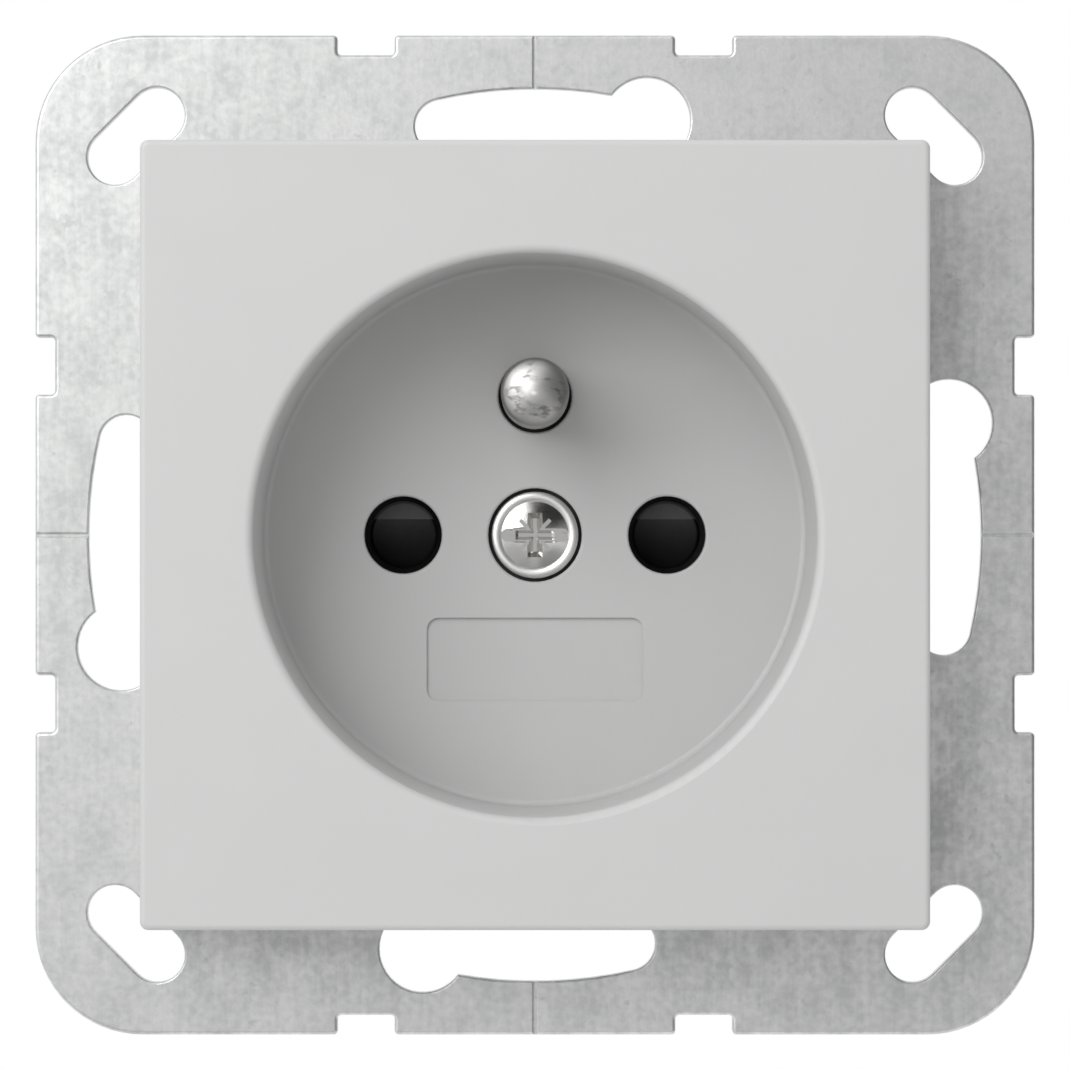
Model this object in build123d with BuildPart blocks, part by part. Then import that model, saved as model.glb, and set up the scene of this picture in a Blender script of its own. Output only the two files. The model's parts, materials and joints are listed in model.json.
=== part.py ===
from build123d import *
import os

os.makedirs("parts", exist_ok=True)

# Flush wall socket with earth pin and shutter, without its outer frame.
# x runs to the right, y into the wall and z up. The back of the support ring, on the wall, is y = 0.

# Clearances
seat_gap = 0.05
fit_gap = 0.15
slide_gap = 0.3

# Support ring, stamped from sheet
ring_width = 71.0
ring_thickness = 1.2
ring_corner_radius = 7.6
ring_edge_round = 0.25
slot_edge_round = 0.15
notch_width = 4.05
notch_depth = 1.4
notch_offset = 12.0
notch_round = 0.3
slot_border = 5.7
slot_width = 3.85
slot_plain_angle = 12.8
keyhole_angle = 15.15
keyhole_radius = 3.08
keyhole_shift = 0.7
corner_slot_width = 3.95
corner_slot_spacing = 4.2
corner_slot_inset = 7.16
mark_width = 0.45
mark_depth = 0.15
mark_slope = 50.0

# Rivets that hold the base on the ring
rivet_radius = 1.05
rivet_head_radius = 1.8
rivet_head_height = 0.8
rivet_rim = 0.16
rivet_sink_radius = 1.75
rivet_inset = 4.13
rivet_web = 1.3

# Cover plate with its well
cover_width = 55.0
cover_height = 9.2
cover_corner_radius = 0.6
cover_edge_round = 0.4
cover_wall = 1.6
face_thickness = 2.0
well_mouth_radius = 19.65
well_draft = 0.15
well_depth = 15.0
well_rim_round = 0.6
well_floor_round = 0.4
well_wall = 1.6
floor_thickness = 2.0
hole_edge_round = 0.2
contact_spacing = 19.0
contact_hole_radius = 2.79
label_width = 15.6
label_height = 6.0
label_round = 0.85
label_depth = 0.3
label_drop = 8.95

# Cover screw and its nut
counterbore_radius = 3.375
counterbore_depth = 1.8
head_radius = 3.12
head_height = 1.45
head_dome = 0.28
head_rim_width = 0.7
head_rim_height = 0.12
screw_radius = 1.5
screw_slot_length = 4.9
screw_slot_width = 0.95
screw_slot_depth = 0.6
cross_length = 3.3
cross_width = 1.15
cross_depth = 1.1
cross_taper = 22.0
tick_length = 3.1
tick_width = 0.28
tick_depth = 0.35
cover_boss_wall = 1.0
boss_wall = 2.3
nut_across_flats = 5.5
nut_thickness = 2.4
nut_floor = 1.0
nut_wall = 1.5
screw_overrun = 0.8

# Earth pin and its strap
pin_rise = 10.0
pin_radius = 2.4
pin_recess = 1.0
pin_dome = 0.95
pin_edge_round = 0.6
pin_neck_radius = 2.15
pin_hole_radius = 2.63
pin_tail_radius = 1.6
pin_upset_radius = 2.6
pin_upset_height = 0.8
strap_thickness = 0.8
strap_width = 9.0
strap_foot = 3.4
strap_bend = 1.4
strap_post_radius = 1.0
strap_post_inset = 1.3
earth_bus_inset = 3.6

# Shutter behind the contact holes, with its guide
guide_thickness = 1.2
guide_skin = 0.5
guide_lip = 0.9
guide_hole_radius = 2.45
guide_funnel = 0.4
guide_width = 34.8
guide_rise = 8.0
guide_drop = 6.6
guide_corner_radius = 1.5
guide_slot_gap = 0.5
peg_radius = 0.8
peg_post_radius = 1.5
peg_rise = 4.2
peg_inset = 1.8
shutter_depth = 4.1
shutter_leg_width = 6.2
shutter_edge_rise = 1.15
shutter_toe_drop = 3.3
shutter_toe_thickness = 0.4
shutter_rise = 8.0
bridge_height = 3.0
bridge_relief = 1.1
shutter_travel = 6.0
channel_wall = 1.1

# Shutter spring
coil_radius = 1.3
coil_wire_radius = 0.2
coil_pitch = 1.5
coil_peg_radius = 0.8
coil_peg_height = 1.0
rib_width = 6.0
rib_thickness = 1.2
rib_gap = 0.6

# Base housing
well_gap = 0.65
base_wall = 1.4
base_corner_round = 12.0
ring_gap = 0.3
flange_thickness = 1.4
flange_gap = 0.6
flange_corner_radius = 5.0
deck_thickness = 1.4
deck_hole_radius = 2.75

# Line and neutral contacts, bent from strip
strip_thickness = 0.6
clip_width = 5.6
clip_mouth = 6.6
clip_throat = 4.7
clip_heel = 5.8
clip_throat_depth = 3.1
clip_length = 9.8
clip_start = 0.4
clip_bend = 0.8
clip_wall = 1.0
bus_width = 8.8
tail_width = 5.2

# Push-in terminals, measured down from the underside of the bus plate
wire_spacing = 5.2
wire_drop = 1.9
wire_entry_radius = 1.6
wire_funnel = 0.5
spring_width = 4.2
spring_thickness = 0.4
spring_drop = 8.85
spring_front = 2.5
spring_tip = 3.6
spring_tip_gap = 0.35
spring_loop = 2.6
spring_loop_height = 4.2
spring_bend = 1.7
chamber_wall = 1.0
chamber_end_gap = 0.5

# Release buttons
button_width = 5.6
button_height = 2.8
button_drop = 6.25
button_nose = 0.8
button_collar = 0.8
button_collar_thickness = 0.9
button_stand = 0.6
button_edge_round = 0.4

# Rear cover and its screws
rear_cover_thickness = 1.6
rear_edge_round = 0.8
stop_width = 4.0
post_radius = 2.4
post_side_inset = 5.7
post_top_inset = 7.3
post_bottom_inset = 6.1
rear_screw_radius = 0.95
rear_screw_head_radius = 1.9
rear_screw_length = 8.0
rear_screw_slot = 0.5

# Depths along y, worked out from the sizes above
ring_front = -ring_thickness
skirt_back = ring_front - seat_gap
flange_front = skirt_back - flange_thickness
rivet_seat = flange_front - seat_gap
face_front = ring_front - cover_height
face_back = face_front + face_thickness
floor_front = face_front + well_depth
floor_back = floor_front + floor_thickness
pin_tip = face_front + pin_recess
head_back = floor_front + counterbore_depth - seat_gap
head_front = head_back - head_height
guide_front = floor_back + seat_gap
guide_back = guide_front + guide_thickness
cover_boss_back = guide_back + seat_gap
skin_back = guide_front + guide_skin
strap_front = skin_back + seat_gap
strap_back = strap_front + strap_thickness
shutter_front = guide_back + slide_gap
shutter_back = shutter_front + shutter_depth
bridge_front = shutter_front + bridge_relief
deck_front = shutter_back + slide_gap
deck_back = deck_front + deck_thickness
nut_front = deck_back + nut_floor
nut_back = nut_front + nut_thickness
clip_front = deck_back + clip_start
clip_back = clip_front + clip_length
cell_back = clip_back - strip_thickness / 2 - clip_wall
loop_back = clip_back + spring_loop
nose_front = loop_back + spring_thickness / 2 + fit_gap
collar_front = nose_front + button_nose
collar_back = collar_front + button_collar_thickness
base_back = collar_back + fit_gap
rear_front = base_back + seat_gap
rear_back = rear_front + rear_cover_thickness

# Widths and heights that several pieces share
contact_x = contact_spacing / 2
diagonal_share = 0.5**0.5
slot_arc_radius = ring_width / 2 - slot_border
corner_slot_offset = ring_width / 2 - corner_slot_inset
cover_inner = cover_width - 2 * cover_wall
well_floor_radius = well_mouth_radius - well_draft
well_outer = well_mouth_radius + well_wall
base_inner_half = well_outer + well_gap
base_half = base_inner_half + base_wall
base_mid_wall = base_inner_half + base_wall / 2
opening_half = base_half + ring_gap
flange_half = cover_inner / 2 - flange_gap
screw_hole_radius = screw_radius + fit_gap
cover_boss_radius = counterbore_radius + cover_boss_wall
boss_radius = screw_hole_radius + boss_wall
nut_pocket = nut_across_flats / 2 + fit_gap
nut_boss_radius = nut_pocket / 0.75**0.5 + nut_wall
guide_slot_half = max(cover_boss_radius, strap_width / 2) + guide_slot_gap
skin_rise = pin_rise + pin_hole_radius + guide_lip
peg_x = guide_width / 2 - peg_inset
channel_inner = shutter_leg_width + 2 * slide_gap
channel_outer = channel_inner + 2 * channel_wall
channel_bottom = -shutter_toe_drop - fit_gap
channel_top = shutter_rise + shutter_travel + slide_gap
bridge_bottom = shutter_rise - bridge_height
cell_half_width = clip_mouth / 2 + strip_thickness / 2 + slide_gap
cell_half_height = clip_width / 2 + slide_gap
chamber_half = bus_width / 2 + slide_gap
chamber_outer = chamber_half + chamber_wall
chamber_drop = spring_drop + spring_thickness / 2 + seat_gap

# Rivets inside the cover, and corners of the base, rounder where the ring needs a web beside the rivets
rivet_offset = cover_inner / 2 - rivet_inset
rivet_hole_radius = rivet_radius + fit_gap
corner_reach = rivet_offset - (rivet_web + rivet_hole_radius) * diagonal_share
web_radius = (opening_half - corner_reach) / (1 - diagonal_share)
base_corner_radius = max(base_corner_round, web_radius - ring_gap)
opening_radius = base_corner_radius + ring_gap
base_inner_radius = base_corner_radius - base_wall

# The underside of each bus plate: the lower chambers stand on the base's wall, clear of its round corners
corner_centre = base_half - base_corner_radius
chamber_reach = max(contact_x + chamber_half - corner_centre, 0)
chamber_seat = corner_centre + (base_inner_radius**2 - chamber_reach**2) ** 0.5
bus_drop = chamber_seat - chamber_drop - chamber_wall
earth_bus_rise = base_inner_half - earth_bus_inset
earth_bus_top = earth_bus_rise + strap_thickness
earth_offset = (-contact_x, 0, earth_bus_rise + bus_drop)
terminals = ((contact_x, -bus_drop), (-contact_x, -bus_drop), (0, earth_bus_rise))

# The shutter spring stands between the bridge and a rib below the strap
rib_bottom = earth_bus_rise - rib_gap - rib_thickness
coil_y = (bridge_front + shutter_back) / 2
coil_bottom = shutter_rise + coil_wire_radius + seat_gap
coil_top = rib_bottom - coil_wire_radius - seat_gap

# Places as x and z
contact_places = ((contact_x, 0), (-contact_x, 0))
button_places = [(x, z - button_drop) for x, z in terminals]
wire_places = [(x + side * wire_spacing / 2, z - wire_drop) for x, z in terminals for side in (-1, 1)]
rivet_places = [(i * rivet_offset, k * rivet_offset) for i in (-1, 1) for k in (-1, 1)]
peg_places = [(i * peg_x, k * peg_rise) for i in (-1, 1) for k in (-1, 1)]
post_side = base_inner_half - post_side_inset
post_top = base_inner_half - post_top_inset
post_places = ((post_side, post_top), (-post_side, post_top), (0, post_bottom_inset - base_inner_half))


def facing(y):
    """Plane at depth y that faces the viewer: extrusions come forward, holes go back."""
    return Plane.XZ.offset(-y)


def backing(y):
    """Plane at depth y that faces the wall box: holes come forward. Its second axis is -z."""
    return Plane((0, y, 0), x_dir=(1, 0, 0), z_dir=(0, 1, 0))


def upright(x):
    """Plane across x, with y and z as its axes."""
    return Plane.YZ.offset(x)


# Support ring: outline with notches, then the screw slots, the opening and the centre marks
with BuildPart() as support_ring:
    with BuildSketch(facing(0)) as ring_outline:
        RectangleRounded(ring_width, ring_width, ring_corner_radius)
        with PolarLocations(ring_width / 2, 4):
            with Locations((0, notch_offset), (0, -notch_offset)):
                Rectangle(2 * notch_depth, notch_width, mode=Mode.SUBTRACT)
        notch_corners = ring_outline.vertices().filter_by(
            lambda v: min(abs(v.X), abs(v.Y)) < notch_offset + notch_width
        )
        fillet(notch_corners, notch_round)
    extrude(amount=ring_thickness)
    fillet(support_ring.faces().sort_by(Axis.Y)[0].edges(), ring_edge_round)
    with BuildSketch(facing(0)):
        for side in (0, 180):
            for start in (side - slot_plain_angle, side + 90 - keyhole_angle):
                with BuildLine():
                    slot_line = CenterArc((0, 0), slot_arc_radius, start, slot_plain_angle + keyhole_angle)
                SlotArc(slot_line, slot_width)
            for keyhole in (side + keyhole_angle, side + 90 - keyhole_angle):
                with PolarLocations(slot_arc_radius + keyhole_shift, 1, start_angle=keyhole):
                    Circle(keyhole_radius)
        with PolarLocations(corner_slot_offset / diagonal_share, 4, start_angle=45):
            SlotCenterToCenter(corner_slot_spacing, corner_slot_width, rotation=90)
    extrude(amount=ring_thickness, mode=Mode.SUBTRACT)
    slot_rims = [wire.edges() for wire in support_ring.faces().sort_by(Axis.Y)[0].inner_wires()]
    fillet(ShapeList(edge for rim in slot_rims for edge in rim), slot_edge_round)
    with BuildSketch(facing(0)):
        RectangleRounded(2 * opening_half, 2 * opening_half, opening_radius)
    extrude(amount=ring_thickness, mode=Mode.SUBTRACT)
    with BuildSketch(facing(ring_front)):
        with PolarLocations((slot_arc_radius + ring_width / 2) / 2, 4):
            Rectangle(slot_border + slot_width, mark_width)
    extrude(amount=-mark_depth, taper=mark_slope, mode=Mode.SUBTRACT)
    with Locations(backing(0)):
        with Locations(*rivet_places):
            CounterSinkHole(rivet_hole_radius, rivet_sink_radius + fit_gap, ring_thickness, 90)

# Rivet: a low dome on the flange, a sunk tail flush with the back of the ring
with BuildPart() as rivet:
    with BuildSketch(Plane.XY):
        with BuildLine():
            dome_rim = (rivet_head_radius, rivet_seat - rivet_rim)
            dome = TangentArc((0, rivet_seat - rivet_head_height), dome_rim, tangent=(1, 0))
            Polyline(
                dome @ 1,
                (rivet_head_radius, rivet_seat),
                (rivet_radius, rivet_seat),
                (rivet_radius, rivet_radius - rivet_sink_radius),
                (rivet_sink_radius, 0),
                (0, 0),
                dome @ 0,
            )
        make_face()
    revolve(axis=Axis.Y)

with BuildPart() as ring_rivets:
    with Locations(*[(x, 0, z) for x, z in rivet_places]):
        add(rivet.part)

# Cover plate: square shell, round well with a floor, and a boss behind the floor for the screw
with BuildPart() as cover_plate:
    with BuildSketch(facing(skirt_back)):
        RectangleRounded(cover_width, cover_width, cover_corner_radius)
    extrude(amount=skirt_back - face_front)
    fillet(cover_plate.faces().sort_by(Axis.Y)[0].edges(), cover_edge_round)
    with BuildSketch(facing(skirt_back)):
        Rectangle(cover_inner, cover_inner)
    extrude(amount=skirt_back - face_back, mode=Mode.SUBTRACT)
    with BuildSketch(facing(face_back)):
        Circle(well_outer)
    extrude(amount=face_back - floor_back)
    with BuildSketch(facing(floor_back)):
        Circle(cover_boss_radius)
    extrude(amount=floor_back - cover_boss_back)
    with BuildSketch(Plane.XY):
        with BuildLine():
            Polyline(
                (0, face_front),
                (well_mouth_radius, face_front),
                (well_floor_radius, floor_front),
                (0, floor_front),
                close=True,
            )
        make_face()
    revolve(axis=Axis.Y, mode=Mode.SUBTRACT)
    well_edges = cover_plate.edges().filter_by(GeomType.CIRCLE)
    fillet(well_edges.filter_by(lambda e: abs(e.radius - well_mouth_radius) < seat_gap), well_rim_round)
    well_edges = cover_plate.edges().filter_by(GeomType.CIRCLE)
    fillet(well_edges.filter_by(lambda e: abs(e.radius - well_floor_radius) < seat_gap), well_floor_round)
    with BuildSketch(facing(floor_front)):
        with Locations((0, -label_drop)):
            RectangleRounded(label_width, label_height, label_round)
    extrude(amount=-label_depth, mode=Mode.SUBTRACT)
    with Locations(facing(floor_front)):
        CounterBoreHole(
            screw_hole_radius, counterbore_radius, counterbore_depth, cover_boss_back - floor_front
        )
        with Locations(*contact_places):
            Hole(contact_hole_radius, floor_thickness)
        with Locations((0, pin_rise)):
            Hole(pin_hole_radius, floor_thickness)
    floor_rims = cover_plate.faces().filter_by(lambda f: abs(f.center().Y - floor_front) < seat_gap).edges()
    hole_radii = (counterbore_radius, contact_hole_radius, pin_hole_radius)
    hole_rims = floor_rims.filter_by(
        lambda e: e.geom_type == GeomType.CIRCLE and min(abs(e.radius - r) for r in hole_radii) < seat_gap
    )
    fillet(hole_rims, hole_edge_round)

# Cover screw: domed head with a raised rim, a slot and a cross recess
with BuildPart() as cover_screw:
    with BuildSketch(Plane.XY):
        with BuildLine():
            groove = (head_radius - head_rim_width, head_front + head_dome)
            rim_top = (head_radius - head_rim_width / 2, head_front + head_dome - head_rim_height)
            crown = TangentArc((0, head_front), groove, tangent=(1, 0))
            rim = ThreePointArc(groove, rim_top, (head_radius, head_front + head_dome))
            Polyline(
                rim @ 1,
                (head_radius, head_back),
                (screw_radius, head_back),
                (screw_radius, nut_back + screw_overrun),
                (0, nut_back + screw_overrun),
                crown @ 0,
            )
        make_face()
    revolve(axis=Axis.Y)
    with BuildSketch(facing(head_front)):
        SlotOverall(screw_slot_length, screw_slot_width)
    extrude(amount=-screw_slot_depth, mode=Mode.SUBTRACT)
    with BuildSketch(facing(head_front)):
        Rectangle(cross_length, cross_width)
        Rectangle(cross_width, cross_length)
    extrude(amount=-cross_depth, taper=cross_taper, mode=Mode.SUBTRACT)
    with BuildSketch(facing(head_front)):
        Rectangle(tick_length, tick_width, rotation=45)
        Rectangle(tick_length, tick_width, rotation=-45)
    extrude(amount=-tick_depth, mode=Mode.SUBTRACT)

# Captive nut in the boss behind the deck
with BuildPart() as cover_nut:
    with BuildSketch(facing(nut_back)):
        RegularPolygon(nut_across_flats / 2, 6, major_radius=False)
        Circle(screw_hole_radius, mode=Mode.SUBTRACT)
    extrude(amount=nut_thickness - seat_gap)

# Earth pin: domed tip, neck through the well floor, tail upset behind the strap
with BuildPart() as earth_pin:
    with BuildSketch(Plane.XY.offset(pin_rise)):
        with BuildLine():
            tip = TangentArc((0, pin_tip), (pin_radius, pin_tip + pin_dome), tangent=(1, 0))
            Polyline(
                tip @ 1,
                (pin_radius, floor_front - slide_gap),
                (pin_neck_radius, floor_front - slide_gap),
                (pin_neck_radius, strap_front - seat_gap),
                (pin_tail_radius, strap_front - seat_gap),
                (pin_tail_radius, strap_back + seat_gap),
                (pin_upset_radius, strap_back + seat_gap),
                (pin_tail_radius, strap_back + pin_upset_height),
                (0, strap_back + pin_upset_height),
                tip @ 0,
            )
        make_face()
    revolve(axis=Axis((0, 0, pin_rise), (0, 1, 0)))
    fillet(earth_pin.edges().filter_by(lambda edge: edge.is_closed).sort_by(Axis.Y)[0], pin_edge_round)

# Earth strap: up from the pin, then back through the deck as the earth bus plate
with BuildPart() as earth_strap:
    with BuildSketch(upright(0)):
        with BuildLine():
            FilletPolyline(
                (strap_front + strap_thickness / 2, pin_rise - strap_foot),
                (strap_front + strap_thickness / 2, earth_bus_rise + strap_thickness / 2),
                (clip_back, earth_bus_rise + strap_thickness / 2),
                radius=strap_bend,
            )
        trace(line_width=strap_thickness)
    extrude(amount=strap_width / 2, both=True)
    with Locations(facing(strap_front)):
        with Locations((0, pin_rise)):
            Hole(pin_tail_radius + fit_gap, strap_thickness)

# Shutter guide: plate behind the well floor, with a funnel before each wedge of the shutter.
# In the middle it is open for the boss, and only a thin skin runs in front of the strap.
with BuildPart() as shutter_guide:
    with BuildSketch(facing(guide_back)):
        with Locations((0, (guide_rise - guide_drop) / 2)):
            RectangleRounded(guide_width, guide_rise + guide_drop, guide_corner_radius)
        with Locations((0, guide_rise / 2)):
            Rectangle(2 * guide_slot_half, guide_rise, mode=Mode.SUBTRACT)
        Circle(guide_slot_half, mode=Mode.SUBTRACT)
        with Locations(*contact_places):
            Circle(guide_hole_radius, mode=Mode.SUBTRACT)
        with Locations(*peg_places):
            Circle(peg_radius + fit_gap, mode=Mode.SUBTRACT)
    extrude(amount=guide_thickness)
    with BuildSketch(facing(skin_back)):
        Rectangle(2 * guide_slot_half, skin_rise, align=(Align.CENTER, Align.MIN))
        Circle(guide_slot_half, mode=Mode.SUBTRACT)
        with Locations((0, pin_rise)):
            Circle(pin_neck_radius + fit_gap, mode=Mode.SUBTRACT)
    extrude(amount=guide_skin)
    guide_rims = shutter_guide.faces().sort_by(Axis.Y)[0].edges().filter_by(GeomType.CIRCLE)
    chamfer(guide_rims.filter_by(lambda e: abs(e.radius - guide_hole_radius) < seat_gap), guide_funnel)

# Shutter: two wedges joined by a bridge above the screw boss
with BuildPart() as shutter:
    with BuildSketch(upright(contact_x - shutter_leg_width / 2)):
        with BuildLine():
            Polyline(
                (shutter_front, shutter_rise),
                (shutter_front, shutter_edge_rise),
                (shutter_back - shutter_toe_thickness, -shutter_toe_drop),
                (shutter_back, -shutter_toe_drop),
                (shutter_back, shutter_rise),
                close=True,
            )
        make_face()
    extrude(amount=shutter_leg_width)
    mirror(about=Plane.YZ)
    with BuildSketch(facing(shutter_back)):
        with Locations((0, shutter_rise - bridge_height / 2)):
            Rectangle(contact_spacing, bridge_height)
    extrude(amount=shutter_back - bridge_front)
    with BuildSketch(Plane.XY.offset(shutter_rise)):
        with Locations((0, coil_y)):
            Circle(coil_peg_radius)
    extrude(amount=coil_peg_height)

# Shutter spring: open coil between the bridge and a rib of the base
with BuildPart() as shutter_spring:
    with BuildLine() as coil:
        Helix(coil_pitch, coil_top - coil_bottom, coil_radius, center=(0, coil_y, coil_bottom))
    with BuildSketch(Plane(coil.line @ 0, z_dir=coil.line % 0)):
        Circle(coil_wire_radius)
    sweep(is_frenet=True)

# Base housing: shell with a front flange, a deck across it, and chambers on both sides of the deck
with BuildPart() as base_housing:
    with BuildSketch(facing(skirt_back)):
        RectangleRounded(2 * flange_half, 2 * flange_half, flange_corner_radius)
    extrude(amount=flange_thickness)
    with BuildSketch(facing(skirt_back)):
        RectangleRounded(2 * base_half, 2 * base_half, base_corner_radius)
    extrude(amount=skirt_back - base_back)
    with BuildSketch(facing(flange_front)):
        RectangleRounded(2 * base_inner_half, 2 * base_inner_half, base_inner_radius)
    extrude(amount=flange_front - deck_front, mode=Mode.SUBTRACT)
    with BuildSketch(facing(deck_back)):
        RectangleRounded(2 * base_inner_half, 2 * base_inner_half, base_inner_radius)
    extrude(amount=deck_back - base_back, mode=Mode.SUBTRACT)
    with Locations(facing(flange_front)):
        with Locations(*rivet_places):
            Hole(rivet_hole_radius, flange_thickness)

    # In front of the deck: channels for the shutter, open between them above the screw boss
    with BuildSketch(facing(deck_front)):
        with Locations(*contact_places):
            with Locations((0, (channel_top + channel_bottom - channel_wall) / 2)):
                Rectangle(channel_outer, channel_top - channel_bottom + channel_wall)
            with Locations((0, (channel_top + channel_bottom) / 2)):
                Rectangle(channel_inner, channel_top - channel_bottom, mode=Mode.SUBTRACT)
        with Locations((0, (channel_top + bridge_bottom - slide_gap) / 2)):
            Rectangle(contact_spacing, channel_top - bridge_bottom + slide_gap, mode=Mode.SUBTRACT)
        with Locations(*peg_places):
            Circle(peg_post_radius)
    extrude(amount=deck_front - guide_back - seat_gap)
    with BuildSketch(facing(deck_front)):
        with Locations(*peg_places):
            Circle(peg_radius)
    extrude(amount=deck_front - guide_front)
    with BuildSketch(facing(deck_front)):
        Circle(boss_radius)
    extrude(amount=deck_front - cover_boss_back - seat_gap)

    # Rib that the shutter spring pushes against, and posts behind the strap
    with BuildSketch(facing(deck_front)):
        with Locations((0, rib_bottom + rib_thickness / 2)):
            Rectangle(rib_width, rib_thickness)
    extrude(amount=deck_front - strap_back - strap_bend)
    with BuildSketch(facing(deck_front)):
        with Locations((strap_width / 2 - strap_post_inset, rib_bottom - strap_post_radius / 2)):
            Circle(strap_post_radius)
        with Locations((strap_post_inset - strap_width / 2, rib_bottom - strap_post_radius / 2)):
            Circle(strap_post_radius)
    extrude(amount=deck_front - strap_back - seat_gap)
    with BuildSketch(Plane.XY.offset(rib_bottom)):
        with Locations((0, coil_y)):
            Circle(coil_peg_radius)
    extrude(amount=-coil_peg_height)

    # Behind the deck: cells for the clips, the nut boss and posts for the rear cover's screws
    with BuildSketch(facing(deck_back)):
        with Locations(*contact_places):
            Rectangle(2 * (cell_half_width + clip_wall), 2 * (cell_half_height + clip_wall))
            Rectangle(2 * cell_half_width, 2 * cell_half_height, mode=Mode.SUBTRACT)
    extrude(amount=deck_back - cell_back)
    with BuildSketch(facing(deck_back)):
        Circle(nut_boss_radius)
    extrude(amount=deck_back - nut_back)
    with BuildSketch(facing(nut_back)):
        RegularPolygon(nut_pocket, 6, major_radius=False)
    extrude(amount=nut_thickness, mode=Mode.SUBTRACT)
    with BuildSketch(facing(deck_back)):
        with Locations(*post_places):
            Circle(post_radius)
    extrude(amount=deck_back - base_back)
    with Locations(backing(base_back)):
        with Locations(*[(x, -z) for x, z in post_places]):
            Hole(rear_screw_radius + fit_gap, rear_screw_length)

    # Terminal chambers: two stand on the lower wall, the one for earth hangs from the upper wall
    with BuildSketch(facing(deck_back)):
        for x, z in terminals[:2]:
            with Locations((x, (z + strip_thickness + chamber_wall - base_mid_wall) / 2)):
                Rectangle(2 * chamber_outer, z + strip_thickness + chamber_wall + base_mid_wall)
            with Locations((x, z - chamber_drop)):
                Rectangle(
                    2 * chamber_half, 2 * chamber_drop, align=(Align.CENTER, Align.MIN), mode=Mode.SUBTRACT
                )
        earth_floor = earth_bus_rise - chamber_drop
        with Locations((0, earth_floor - chamber_wall)):
            Rectangle(
                2 * chamber_outer, base_mid_wall - earth_floor + chamber_wall, align=(Align.CENTER, Align.MIN)
            )
        with Locations((0, earth_floor)):
            Rectangle(
                2 * chamber_half,
                earth_bus_top + fit_gap - earth_floor,
                align=(Align.CENTER, Align.MIN),
                mode=Mode.SUBTRACT,
            )
        RectangleRounded(2 * base_half, 2 * base_half, base_corner_radius, mode=Mode.INTERSECT)
    extrude(amount=deck_back - base_back + chamber_end_gap)
    with BuildSketch(facing(deck_back)):
        for x, z in terminals[:2]:
            with Locations((x, z + strip_thickness + fit_gap)):
                Rectangle(2 * chamber_outer, chamber_wall, align=(Align.CENTER, Align.MIN))
    extrude(amount=deck_back - cell_back)

    # Ways through the deck for the plug's pins, the screw and the strap
    with BuildSketch(facing(deck_back)):
        with Locations(*contact_places):
            Circle(deck_hole_radius)
        with Locations((0, earth_bus_rise + strap_thickness / 2)):
            Rectangle(strap_width + 2 * slide_gap, strap_thickness + 2 * fit_gap)
    extrude(amount=deck_thickness, mode=Mode.SUBTRACT)
    with BuildSketch(facing(nut_back)):
        Circle(screw_hole_radius)
    extrude(amount=nut_back - cover_boss_back, mode=Mode.SUBTRACT)

# Rear cover: wire entries, windows for the buttons, and stops behind the contacts
with BuildPart() as rear_cover:
    with BuildSketch(facing(rear_back)):
        RectangleRounded(2 * base_half, 2 * base_half, base_corner_radius)
    extrude(amount=rear_cover_thickness)
    fillet(rear_cover.faces().sort_by(Axis.Y)[-1].edges(), rear_edge_round)
    with BuildSketch(facing(rear_back)):
        with Locations(*button_places):
            Rectangle(button_width + 2 * slide_gap, button_height + 2 * slide_gap)
    extrude(amount=rear_cover_thickness, mode=Mode.SUBTRACT)
    with BuildSketch(facing(rear_front)):
        with Locations(*contact_places):
            Rectangle(stop_width, stop_width)
    extrude(amount=rear_front - clip_back - strip_thickness / 2 - fit_gap)
    with Locations(backing(rear_back)):
        with Locations(*[(x, -z) for x, z in wire_places]):
            CounterSinkHole(
                wire_entry_radius, wire_entry_radius + wire_funnel, rear_cover_thickness, 90
            )
        with Locations(*[(x, -z) for x, z in post_places]):
            CounterSinkHole(
                rear_screw_radius + fit_gap, rear_screw_head_radius + fit_gap, rear_cover_thickness, 90
            )

# Countersunk screw for the rear cover
with BuildPart() as rear_screw:
    with BuildSketch(Plane.XY):
        with BuildLine():
            Polyline(
                (0, rear_back),
                (rear_screw_head_radius, rear_back),
                (rear_screw_radius, rear_back - rear_screw_head_radius + rear_screw_radius),
                (rear_screw_radius, rear_back - rear_screw_length),
                (0, rear_back - rear_screw_length),
                close=True,
            )
        make_face()
    revolve(axis=Axis.Y)
    with BuildSketch(facing(rear_back)):
        Rectangle(2 * rear_screw_head_radius, rear_screw_slot)
    extrude(amount=rear_screw_slot, mode=Mode.SUBTRACT)

with BuildPart() as rear_cover_screws:
    with Locations(*[(x, 0, z) for x, z in post_places]):
        add(rear_screw.part)

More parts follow.
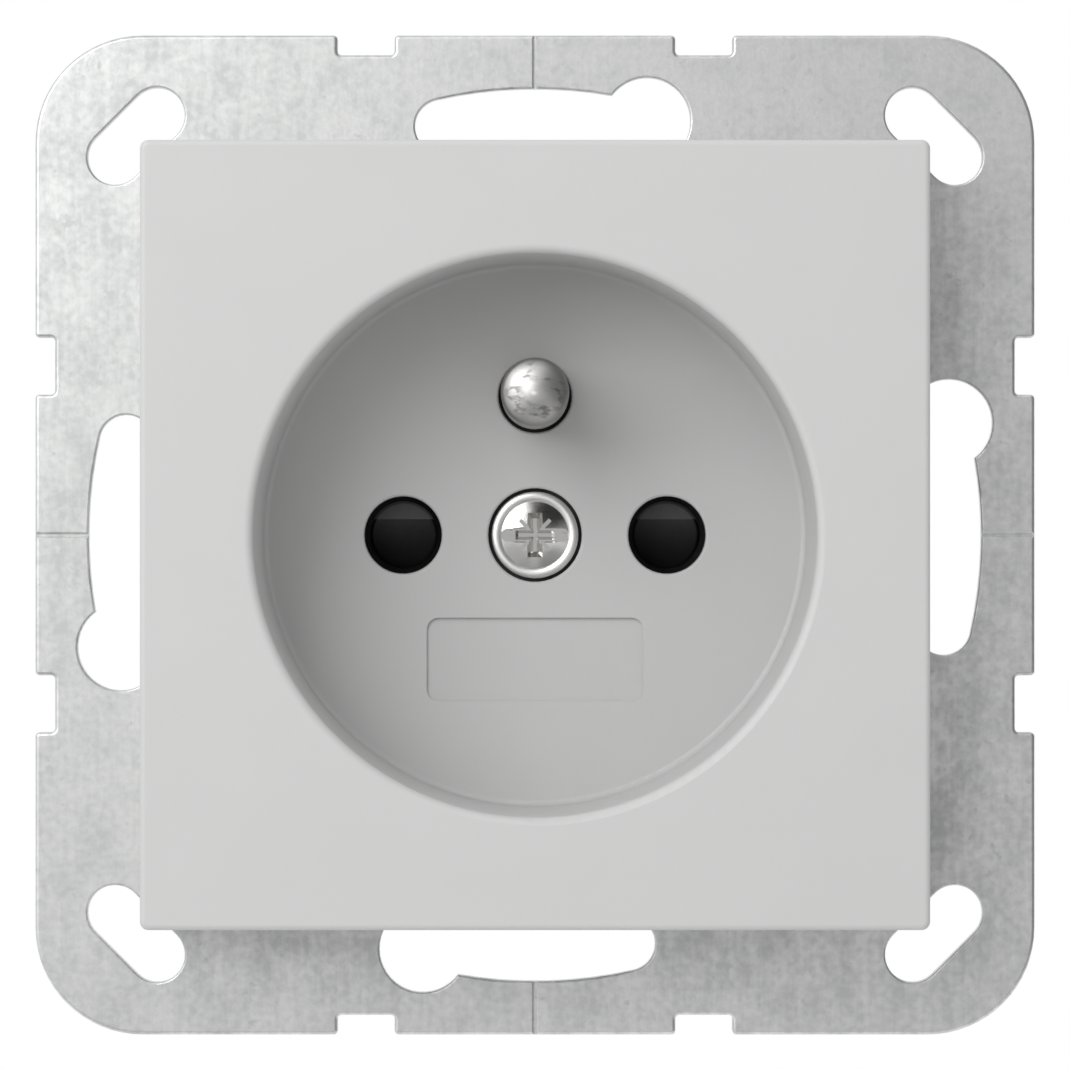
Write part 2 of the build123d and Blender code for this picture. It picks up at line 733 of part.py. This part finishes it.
# Line contact: a clip with sprung leaves for the plug's pin, a tail and the bus plate
with BuildPart() as line_contact:
    with BuildSketch(Plane.XY):
        with BuildLine():
            FilletPolyline(
                (contact_x - clip_mouth / 2, clip_front),
                (contact_x - clip_throat / 2, clip_front + clip_throat_depth),
                (contact_x - clip_heel / 2, clip_back),
                (contact_x + clip_heel / 2, clip_back),
                (contact_x + clip_throat / 2, clip_front + clip_throat_depth),
                (contact_x + clip_mouth / 2, clip_front),
                radius=clip_bend,
            )
        trace(line_width=strip_thickness)
    extrude(amount=clip_width / 2, both=True)
    with BuildSketch(upright(contact_x)):
        with BuildLine():
            FilletPolyline(
                (clip_back, 0),
                (clip_back, strip_thickness / 2 - bus_drop),
                (clip_front, strip_thickness / 2 - bus_drop),
                radius=clip_bend,
            )
        trace(line_width=strip_thickness)
    extrude(amount=tail_width / 2, both=True)
    with BuildSketch(facing(clip_back - clip_bend - strip_thickness)):
        with Locations((contact_x, strip_thickness / 2 - bus_drop)):
            Rectangle(bus_width, strip_thickness)
    extrude(amount=clip_length - clip_bend - strip_thickness)

with BuildPart() as neutral_contact:
    mirror(line_contact.part, about=Plane.YZ)

# Clamp springs: one leaf for each wire, bent back on itself towards the bus plate
with BuildPart() as line_clamp_springs:
    for side in (-1, 1):
        with BuildSketch(upright(contact_x + side * wire_spacing / 2)):
            with BuildLine():
                FilletPolyline(
                    (deck_back + spring_front, -bus_drop - spring_drop),
                    (loop_back, -bus_drop - spring_drop),
                    (loop_back, -bus_drop - spring_drop + spring_loop_height),
                    (deck_back + spring_tip, -bus_drop - spring_tip_gap),
                    radius=spring_bend,
                )
            trace(line_width=spring_thickness)
        extrude(amount=spring_width / 2, both=True)

with BuildPart() as neutral_clamp_springs:
    mirror(line_clamp_springs.part, about=Plane.YZ)

with BuildPart() as earth_clamp_springs:
    with Locations(earth_offset):
        add(line_clamp_springs.part)

# Release button: stem through its window, with a collar that keeps it in
with BuildPart() as line_release_button:
    with BuildSketch(facing(rear_back + button_stand)):
        with Locations(button_places[0]):
            RectangleRounded(button_width, button_height, button_edge_round)
    extrude(amount=rear_back + button_stand - nose_front)
    with BuildSketch(facing(collar_back)):
        with Locations(button_places[0]):
            Rectangle(button_width + 2 * button_collar, button_height + 2 * button_collar)
    extrude(amount=button_collar_thickness)

with BuildPart() as neutral_release_button:
    mirror(line_release_button.part, about=Plane.YZ)

with BuildPart() as earth_release_button:
    with Locations(earth_offset):
        add(line_release_button.part)

pieces = {
    "support_ring": support_ring,
    "ring_rivets": ring_rivets,
    "cover_plate": cover_plate,
    "cover_screw": cover_screw,
    "cover_nut": cover_nut,
    "earth_pin": earth_pin,
    "earth_strap": earth_strap,
    "shutter_guide": shutter_guide,
    "shutter": shutter,
    "shutter_spring": shutter_spring,
    "base_housing": base_housing,
    "rear_cover": rear_cover,
    "rear_cover_screws": rear_cover_screws,
    "line_contact": line_contact,
    "neutral_contact": neutral_contact,
    "line_clamp_springs": line_clamp_springs,
    "neutral_clamp_springs": neutral_clamp_springs,
    "earth_clamp_springs": earth_clamp_springs,
    "line_release_button": line_release_button,
    "neutral_release_button": neutral_release_button,
    "earth_release_button": earth_release_button,
}
for name, piece in pieces.items():
    piece.part.label = name
    export_step(piece.part, f"parts/{name}.step")
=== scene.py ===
import json
import math

import bmesh
import bpy
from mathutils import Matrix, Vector


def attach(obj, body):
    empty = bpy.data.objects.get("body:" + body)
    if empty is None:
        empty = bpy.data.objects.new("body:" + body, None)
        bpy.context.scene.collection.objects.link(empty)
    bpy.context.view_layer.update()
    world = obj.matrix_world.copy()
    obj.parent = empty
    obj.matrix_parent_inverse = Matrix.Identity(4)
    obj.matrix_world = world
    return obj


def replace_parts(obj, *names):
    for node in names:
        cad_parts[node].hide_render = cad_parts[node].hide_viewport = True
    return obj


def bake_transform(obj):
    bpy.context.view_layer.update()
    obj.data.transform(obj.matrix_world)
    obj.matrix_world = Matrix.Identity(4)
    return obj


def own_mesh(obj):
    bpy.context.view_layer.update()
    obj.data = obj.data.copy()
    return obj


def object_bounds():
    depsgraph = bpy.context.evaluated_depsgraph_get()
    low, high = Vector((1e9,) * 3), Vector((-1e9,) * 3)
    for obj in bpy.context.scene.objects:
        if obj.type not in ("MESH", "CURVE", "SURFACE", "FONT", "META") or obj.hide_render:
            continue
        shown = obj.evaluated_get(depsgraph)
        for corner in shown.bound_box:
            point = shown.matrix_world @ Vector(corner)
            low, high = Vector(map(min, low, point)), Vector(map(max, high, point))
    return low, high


# Flush wall socket seen straight from the front, on white.
# All lengths are in metres, in the frame of the CAD model: x to the right, y into the wall, z up.
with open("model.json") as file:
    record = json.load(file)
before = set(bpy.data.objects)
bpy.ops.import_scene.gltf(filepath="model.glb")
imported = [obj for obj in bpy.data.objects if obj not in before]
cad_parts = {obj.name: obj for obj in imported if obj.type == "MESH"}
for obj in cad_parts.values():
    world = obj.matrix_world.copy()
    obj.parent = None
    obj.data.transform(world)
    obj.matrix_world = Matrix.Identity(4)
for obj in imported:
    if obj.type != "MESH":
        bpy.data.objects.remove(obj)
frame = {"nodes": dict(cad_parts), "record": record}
cad_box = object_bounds()
MM = 0.001

# Axes along y that the finishes go by
CONTACT_X = 9.5 * MM
PIN_RISE = 10 * MM

# Distances from an axis, depths or heights between which a detail of a finish begins and ends
SCREW_FACE = (2.35 * MM, 2.5 * MM)
# Painted shade: the pin's tip colour gives way to a darker rim and side between these distances
PIN_SHADE_START = (1.75 * MM, 2.2 * MM)
PIN_RUBBED = (0.6 * MM, 1.2 * MM)
# Painted shade: the grey patch before each contact hole gives way to a black rim between these distances
SHUTTER_SHADED_RIM = (2.21 * MM, 2.33 * MM)
# Painted shade: the patch is darkest at the first height and lightest at the second
SHUTTER_SHADED_DOWN = (-2.3 * MM, 2 * MM)
# Painted shade: the white darkens down the well between these depths
WELL_SHADED = (1 * MM, 4.4 * MM)
# Painted shade: the white turns dark in the bores between these depths
BORES_SHADED = (4.95 * MM, 5.2 * MM)

# Y of a normal: up to the first the surface counts as facing the front, beyond the second it doesn't
FRONT_LIMITS = (-0.4, -0.2)

# Most of a noise texture lies between these values
NOISE_RANGE = (0.3, 0.7)

# Sizes of textures that several finishes share
CLOUD_SIZE = 6 * MM
GLOSS_SIZE = 0.5 * MM
GRAIN_SIZE = 0.14 * MM
SCUFF_SIZE = 0.5 * MM
SCUFF_FADE = 0.1
SCRATCH_SIZE = 0.05 * MM
SCRATCH_DEPTH = 0.003 * MM

# Two tones of each finish, for a share of 0 and of 1
WHITE_TONES = ((0.555, 0.555, 0.553), (0.615, 0.615, 0.612))
GREY_TONES = ((0.535, 0.542, 0.545), (0.57, 0.576, 0.577))
BUTTON_TONES = ((0.7, 0.7, 0.69), (0.76, 0.76, 0.75))
BLACK_TONES = ((0.004, 0.004, 0.004), (0.11, 0.11, 0.111))
JET_TONES = ((0.004, 0.004, 0.004), (0.007, 0.007, 0.007))
ZINC_TONES = ((0.585, 0.595, 0.59), (0.775, 0.785, 0.775))
SCREW_TONES = ((0.8, 0.795, 0.78), (0.66, 0.655, 0.64))
PIN_TONES = ((0.66, 0.655, 0.645), (0.32, 0.315, 0.305))
STEEL_TONES = ((0.42, 0.42, 0.43), (0.6, 0.6, 0.61))
BRASS_TONES = ((0.56, 0.4, 0.17), (0.8, 0.62, 0.3))

# Single colours
# Painted sheen: the screw's rim is coloured brighter than its face
SCREW_RIM_SHEEN = (0.94, 0.935, 0.92, 1.0)
# Painted shade of the pin's rim and side
PIN_SIDE_SHADE = (0.38, 0.375, 0.365, 1.0)
# Painted shade in the bores behind the well's floor
BORE_SHADE = (0.08, 0.08, 0.08, 1.0)
WHITE = (1.0, 1.0, 1.0, 1.0)
ROOM_COLOUR = (0.8, 0.8, 0.8, 1.0)
FLOOR_COLOUR = (0.85, 0.85, 0.85, 1.0)

# Camera: level with the contact holes, as far away as the perspective of the well shows
CAMERA_DISTANCE = 0.425
CAMERA_NEAR = 0.01
VIEW_WIDTH = 0.0744
SENSOR = 36.0

# Studio: one soft lamp in front, above and to the left, even light all round, and a pale floor below
KEY_PLACE = (-0.205, -0.325, 0.175)
KEY_WIDTH = 0.3
KEY_POWER = 0.94
AMBIENT_LEVEL = 0.55
AMBIENT_UPRIGHT = 0.8
FLOOR_DROP = 0.025
FLOOR_CENTRE = (0.03, 0.1)
FLOOR_RADIUS = 0.14
FLOOR_CORNERS = 96
FLOOR_GLOW = 0.7
FLOOR_FADE = (0.08, 0.135)

# Dim places in the room that metal shows: direction, inner and outer angle in degrees, brightness
ROOM_SHADES = (
    ((0.0, -1.0, 0.0), 3, 9, 0.55),
    ((0.2, -0.93, 0.31), 11, 18, 0.04),
    ((0.25, -0.9, -0.36), 8, 16, 0.38),
    ((-0.27, -0.9, -0.33), 9, 18, 0.55),
    ((0.0, -0.5, -0.87), 25, 45, 0.3),
    ((0.9, -0.3, 0.25), 40, 56, 0.12),
)


class Nodes:
    """A node tree, with short ways to add nodes and join them."""

    def __init__(self, tree):
        self.tree = tree

    def set(self, made, inputs):
        """Gives a node's inputs these values, or links them where a value is another node's output."""
        for name, value in inputs.items():
            if isinstance(value, bpy.types.NodeSocket):
                self.tree.links.new(value, made.inputs[name])
            else:
                made.inputs[name].default_value = value

    def add(self, kind, inputs, **settings):
        """New node with these inputs and settings."""
        made = self.tree.nodes.new(kind)
        for name, value in settings.items():
            setattr(made, name, value)
        self.set(made, inputs)
        return made

    def source(self, kind, name):
        """One output of a new node that needs no inputs."""
        return self.add(kind, {}).outputs[name]

    def worked(self, operation, *numbers):
        """Result of a calculation with one or two numbers."""
        return self.add("ShaderNodeMath", dict(enumerate(numbers)), operation=operation).outputs[0]

    def sum(self, first, second):
        """Two numbers added up."""
        return self.worked("ADD", first, second)

    def product(self, first, second):
        """Two numbers multiplied."""
        return self.worked("MULTIPLY", first, second)

    def vector(self, operation, *vectors, output="Value"):
        """Result of a calculation with one or two vectors."""
        return self.add("ShaderNodeVectorMath", dict(enumerate(vectors)), operation=operation).outputs[output]

    def along(self, vector, axis):
        """One of the three numbers of a vector."""
        return self.add("ShaderNodeSeparateXYZ", {"Vector": vector}).outputs[axis]

    def scaled(self, value, low, high, start, end, **settings):
        """Value from start to end spread over low to high."""
        inputs = {"Value": value, "From Min": start, "From Max": end, "To Min": low, "To Max": high}
        return self.add("ShaderNodeMapRange", inputs, **settings).outputs["Result"]

    def between(self, share, low, high):
        """Number that goes from low to high by a share from 0 to 1."""
        return self.scaled(share, low, high, start=0, end=1)

    def blended(self, share, first, second):
        """Shader that goes from the first to the second by a share from 0 to 1."""
        return self.add("ShaderNodeMixShader", {0: share, 1: first, 2: second}).outputs[0]


class Finish(Nodes):
    """A procedural material: its shader, and short ways to make the textures that drive it."""

    def __init__(self, name, **settings):
        self.material = bpy.data.materials.new(name)
        self.material.use_nodes = True
        super().__init__(self.material.node_tree)
        self.shader = self.tree.nodes["Principled BSDF"]
        self.set(self.shader, settings)
        self.place = self.source("ShaderNodeTexCoord", "Object")

    def driven(self, colour, gloss, relief):
        """The material, with its shader driven by these."""
        self.set(self.shader, {"Base Color": colour, "Roughness": gloss, "Normal": relief})
        return self.material

    def noise(self, size, detail=3.0, stretch=(1, 1, 1)):
        """Cloudy noise in patches of about this size, drawn out by three factors along x, y and z."""
        shrink = [1 / factor for factor in stretch]
        place = self.vector("MULTIPLY", self.place, shrink, output="Vector")
        inputs = {"Vector": place, "Scale": 1 / size, "Detail": detail}
        return self.add("ShaderNodeTexNoise", inputs).outputs["Fac"]

    def patches(self, size, low, high, **texture):
        """Number that goes from low to high in patches of about this size."""
        return self.scaled(self.noise(size, **texture), low, high, *NOISE_RANGE)

    def depth(self, start, end, change):
        """This change, reached gradually between two depths along y."""
        return self.scaled(self.along(self.place, "Y"), 0, change, start, end)

    def around(self, x, z, inner, outer):
        """1 within the inner distance of an axis along y or its twin at -x, 0 beyond the outer one."""
        side = self.worked("ABSOLUTE", self.along(self.place, "X"))
        height = self.along(self.place, "Z")
        flat = self.add("ShaderNodeCombineXYZ", {"X": side, "Z": height}).outputs["Vector"]
        return self.scaled(self.vector("DISTANCE", flat, (x, 0, z)), 1, 0, inner, outer)

    def frontal(self):
        """1 where the surface faces the front or slopes away from it, 0 on sides and backs."""
        normal = self.source("ShaderNodeTexCoord", "Normal")
        return self.scaled(self.along(normal, "Y"), 1, 0, *FRONT_LIMITS)

    def scuffs(self, limit):
        """Scuffed share of the surface, in blotches drawn out sideways: fewer with a higher limit."""
        blotches = self.noise(SCUFF_SIZE, detail=7, stretch=(2, 2, 1))
        return self.scaled(blotches, 0, 1, limit, limit + SCUFF_FADE)

    def scratched(self, scuffs):
        """Relief of scuffs and of fine scratches along y."""
        scratches = self.noise(SCRATCH_SIZE, detail=2, stretch=(1, 16, 1))
        return self.bump(self.sum(scratches, scuffs), SCRATCH_DEPTH)

    def grain(self, depth):
        """Relief of a fine matt mould."""
        return self.bump(self.noise(GRAIN_SIZE, detail=2), depth)

    def bump(self, height, depth):
        """Surface relief of this depth."""
        return self.add("ShaderNodeBump", {"Height": height, "Distance": depth}).outputs["Normal"]

    def toned(self, share, tones):
        """Colour that goes from the first tone to the second by a share from 0 to 1."""
        ramp = self.add("ShaderNodeValToRGB", {"Fac": share})
        for stop, tone in zip(ramp.color_ramp.elements, tones):
            stop.color = (*tone, 1.0)
        return ramp.outputs["Color"]

    def mixed(self, share, first, second):
        """Colour that goes from the first to the second by a share from 0 to 1."""
        # Inputs 6 and 7 and output 2 are the ones for colours
        return self.add("ShaderNodeMix", {0: share, 6: first, 7: second}, data_type="RGBA").outputs[2]


def plastic(name, tones, roughness, grain):
    """Moulded plastic: faint clouding of its colour, uneven gloss and a fine matt grain."""
    made = Finish(name)
    colour = made.toned(made.patches(CLOUD_SIZE, low=0, high=1), tones)
    gloss = made.patches(GLOSS_SIZE, low=roughness - 0.05, high=roughness + 0.06)
    return made.driven(colour, gloss, made.grain(grain))


def cover_white():
    """White moulding: faintly clouded and finely grained, with painted shade that darkens it down the well
    and in the bores.
    """
    made = Finish("white")
    # Painted shade: share of the white's tones that fades away down the well, darkening it
    well_shade = 0.85
    clouds = made.patches(CLOUD_SIZE, low=well_shade, high=1)
    well_shaded_white = made.toned(made.sum(clouds, made.depth(*WELL_SHADED, change=-well_shade)), WHITE_TONES)
    # Painted shade: dark colour in the bores, around the screw head
    colour = made.mixed(made.depth(*BORES_SHADED, change=1), well_shaded_white, BORE_SHADE)
    gloss = made.patches(GLOSS_SIZE, low=0.41, high=0.52)
    return made.driven(colour, gloss, made.grain(depth=0.004 * MM))


def shaded_black():
    """Black plastic, grey in a round patch before each contact hole, with painted shade: the patch darker
    towards its bottom and a black rim around it.
    """
    made = Finish("black")
    # Painted shade: a black rim around the grey patch in each contact hole
    patch = made.product(made.around(CONTACT_X, 0, *SHUTTER_SHADED_RIM), made.frontal())
    # Painted shade: the patch lighter at its top, darker towards its bottom
    painted_top_light = made.scaled(made.along(made.place, "Z"), 0.05, 1, *SHUTTER_SHADED_DOWN)
    mottle = made.patches(0.6 * MM, low=0.85, high=1, detail=4)
    share = made.product(patch, made.product(painted_top_light, mottle))
    gloss = made.between(share, low=0.3, high=0.4)
    relief = made.bump(made.noise(0.3 * MM, detail=2), depth=0.001 * MM)
    return made.driven(made.toned(share, BLACK_TONES), gloss, relief)


def zinc():
    """Zinc-plated sheet: fine mottling, darker specks, faint upright streaks, smoother cut edges."""
    made = Finish("zinc", Metallic=0.78)
    mottle = made.patches(0.55 * MM, low=-0.4, high=0.4, detail=8)
    clouds = made.patches(2.4 * MM, low=-0.35, high=0.35, detail=5)
    streaks = made.patches(0.5 * MM, low=-0.2, high=0.2, stretch=(1, 1, 14))
    specks = made.scaled(made.noise(0.9 * MM, detail=2), low=0, high=-0.7, start=0.68, end=0.76)
    blotches = made.sum(made.sum(mottle, clouds), made.sum(streaks, specks))
    share = made.scaled(blotches, low=0, high=1, start=-0.5, end=0.5)
    face_gloss = made.between(share, low=0.46, high=0.33)
    gloss = made.product(face_gloss, made.between(made.frontal(), low=0.4, high=1))
    relief = made.bump(made.noise(0.3 * MM, detail=6), depth=0.009 * MM)
    return made.driven(made.toned(share, ZINC_TONES), gloss, relief)


def screw_nickel():
    """Bright nickel of the screw, lightly scuffed by drivers, its raised rim tumbled to a soft gloss and
    given a brighter colour as a painted sheen.
    """
    made = Finish("screw nickel", Metallic=1.0)
    face = made.around(0, 0, *SCREW_FACE)
    scuffs = made.scuffs(limit=0.58)
    # Painted sheen on the rim, a brighter colour than the rest of the head
    colour = made.mixed(face, SCREW_RIM_SHEEN, made.toned(scuffs, SCREW_TONES))
    gloss = made.between(face, low=0.4, high=0.13)
    return made.driven(colour, gloss, made.scratched(scuffs))


def pin_nickel():
    """Nickel of the earth pin: its tip's middle worn free of scuffs by plugs, scuffed around that, with
    painted shade darkening its rim and side.
    """
    made = Finish("pin nickel", Metallic=1.0)
    unrubbed = made.between(made.around(0, PIN_RISE, *PIN_RUBBED), low=1, high=0)
    scuffs = made.product(made.scuffs(limit=0.5), unrubbed)
    tip = made.around(0, PIN_RISE, *PIN_SHADE_START)
    # Painted shade: beyond the tip the pin's rim and side take a darker colour
    colour = made.mixed(tip, PIN_SIDE_SHADE, made.toned(scuffs, PIN_TONES))
    gloss = made.between(scuffs, low=0.42, high=0.5)
    return made.driven(colour, gloss, made.scratched(scuffs))


def strip(name, tones, smooth, rough):
    """Rolled metal strip: fine streaks along y and patchy tarnish, rougher where it is dark."""
    made = Finish(name, Metallic=1.0)
    streaks = made.noise(0.12 * MM, detail=4, stretch=(1, 18, 1))
    tarnish = made.sum(made.noise(2.2 * MM, detail=5), streaks)
    share = made.scaled(tarnish, low=0, high=1, start=0.7, end=1.3)
    gloss = made.between(share, low=rough, high=smooth)
    return made.driven(made.toned(share, tones), gloss, made.bump(streaks, SCRATCH_DEPTH))


# Finishes by the record's material slots, and those of two nodes that differ from their slot
finishes = {
    "white": cover_white(),
    "zinc": zinc(),
    "nickel": screw_nickel(),
    "steel": strip("steel", STEEL_TONES, smooth=0.24, rough=0.4),
    "brass": strip("brass", BRASS_TONES, smooth=0.2, rough=0.38),
    "black": shaded_black(),
    "grey": plastic("grey", GREY_TONES, roughness=0.5, grain=0.008 * MM),
    "button": plastic("button", BUTTON_TONES, roughness=0.4, grain=0.004 * MM),
}
special = {
    "earth_pin": pin_nickel(),
    "shutter_guide": plastic("jet", JET_TONES, roughness=0.35, grain=0.002 * MM),
}
for part in frame["record"]["subparts"]:
    for slot in frame["nodes"][part["node"]].material_slots:
        slot.material = special.get(part["node"], finishes[part["material_slot"]])


def flexing_copy(node):
    """Copy of a CAD spring in the same place, with a mesh of its own, which stands for it."""
    made = bpy.data.objects.new(f"{node}_flexing", frame["nodes"][node].data.copy())
    bpy.context.scene.collection.objects.link(made)
    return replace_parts(made, node)


def make_leaves(terminal):
    """Leaf springs of a terminal: a copy stands for them, with its place baked into its mesh."""
    node = f"{terminal}_clamp_springs"
    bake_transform(flexing_copy(node))


def make_coil():
    """Coil spring of the shutter: a copy stands for it, hung on the socket's body with a mesh of its own."""
    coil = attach(flexing_copy("shutter_spring"), "socket")
    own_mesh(coil)


def seen_rays(nodes):
    """1 for camera, glossy and transmission rays, which see the backdrop itself, and 0 for the rest."""
    path = nodes.add("ShaderNodeLightPath", {}).outputs
    mirrored = nodes.worked("MAXIMUM", path["Is Glossy Ray"], path["Is Transmission Ray"])
    return nodes.worked("MAXIMUM", path["Is Camera Ray"], mirrored)


def dim_place(nodes, direction, towards, inner, outer, brightness):
    """This brightness within the inner angle of a dim place, and 1 beyond the outer one."""
    nearness = nodes.vector("DOT_PRODUCT", direction, Vector(towards).normalized())
    start, end = (math.cos(math.radians(angle)) for angle in (outer, inner))
    return nodes.scaled(nearness, 1, brightness, start, end, interpolation_type="SMOOTHSTEP")


def room_level(nodes):
    """Brightness of the room by direction: full, less its dim places."""
    direction = nodes.source("ShaderNodeTexCoord", "Generated")
    level, *others = [dim_place(nodes, direction, *shade) for shade in ROOM_SHADES]
    for other in others:
        level = nodes.product(level, other)
    return level


def ambient_level(nodes):
    """Strength of the ambient light by direction: more from above and below than from the sides."""
    direction = nodes.source("ShaderNodeTexCoord", "Generated")
    steepness = nodes.worked("ABSOLUTE", nodes.along(direction, "Z"))
    return nodes.between(steepness, AMBIENT_LEVEL, AMBIENT_UPRIGHT)


def light(nodes, colour, strength):
    """Shader for light that comes from the world."""
    return nodes.add("ShaderNodeBackground", {"Color": colour, "Strength": strength}).outputs[0]


def make_world():
    """White for the camera, a pale room with a few dim places for metal, and an even ambient light."""
    world = bpy.data.worlds.new("studio")
    bpy.context.scene.world = world
    world.use_nodes = True
    world.node_tree.nodes.clear()
    nodes = Nodes(world.node_tree)
    room = light(nodes, ROOM_COLOUR, room_level(nodes))
    camera_ray = nodes.source("ShaderNodeLightPath", "Is Camera Ray")
    backdrop = nodes.blended(camera_ray, room, light(nodes, WHITE, strength=1))
    ambient = light(nodes, WHITE, ambient_level(nodes))
    nodes.add("ShaderNodeOutputWorld", {"Surface": nodes.blended(seen_rays(nodes), ambient, backdrop)})


def floor_paint():
    """Pale paint that keeps a shadow near the floor's middle, and looks pure white further out."""
    material = bpy.data.materials.new("floor")
    material.use_nodes = True
    material.node_tree.nodes.clear()
    nodes = Nodes(material.node_tree)
    distance = nodes.vector("LENGTH", nodes.source("ShaderNodeTexCoord", "Object"))
    share = nodes.product(nodes.scaled(distance, FLOOR_GLOW, 1, *FLOOR_FADE), seen_rays(nodes))
    paint = nodes.add("ShaderNodeBsdfDiffuse", {"Color": FLOOR_COLOUR}).outputs[0]
    glow = nodes.add("ShaderNodeEmission", {"Color": WHITE}).outputs[0]
    nodes.add("ShaderNodeOutputMaterial", {"Surface": nodes.blended(share, paint, glow)})
    return material


def make_floor():
    """Round floor below the socket."""
    disc = bmesh.new()
    bmesh.ops.create_circle(disc, cap_ends=True, segments=FLOOR_CORNERS, radius=FLOOR_RADIUS)
    mesh = bpy.data.meshes.new("floor")
    disc.to_mesh(mesh)
    disc.free()
    mesh.materials.append(floor_paint())
    floor = bpy.data.objects.new("floor", mesh)
    floor.location = (*FLOOR_CENTRE, cad_box[0].z - FLOOR_DROP)
    bpy.context.scene.collection.objects.link(floor)


def put(made, place, towards):
    """Puts a lamp or camera in its place, turned in this direction."""
    made.location = place
    made.rotation_mode = "QUATERNION"
    made.rotation_quaternion = Vector(towards).to_track_quat("-Z", "Y")
    bpy.context.scene.collection.objects.link(made)


def make_lamp():
    """Square soft box that points at the socket."""
    lamp = bpy.data.lights.new("key", "AREA")
    lamp.size = KEY_WIDTH
    lamp.energy = KEY_POWER
    put(bpy.data.objects.new("key", lamp), KEY_PLACE, -Vector(KEY_PLACE))


def make_camera():
    """Camera straight in front of the socket, which sees the view's width at the socket's front."""
    camera = bpy.data.cameras.new("camera")
    camera.sensor_width = SENSOR
    camera.lens = SENSOR * CAMERA_DISTANCE / VIEW_WIDTH
    camera.clip_start = CAMERA_NEAR
    made = bpy.data.objects.new("camera", camera)
    put(made, (0, cad_box[0].y - CAMERA_DISTANCE, 0), (0, 1, 0))
    bpy.context.scene.camera = made


for terminal in ("line", "neutral", "earth"):
    make_leaves(terminal)
make_coil()
make_world()
make_floor()
make_lamp()
make_camera()
bpy.context.scene.view_settings.view_transform = "Standard"
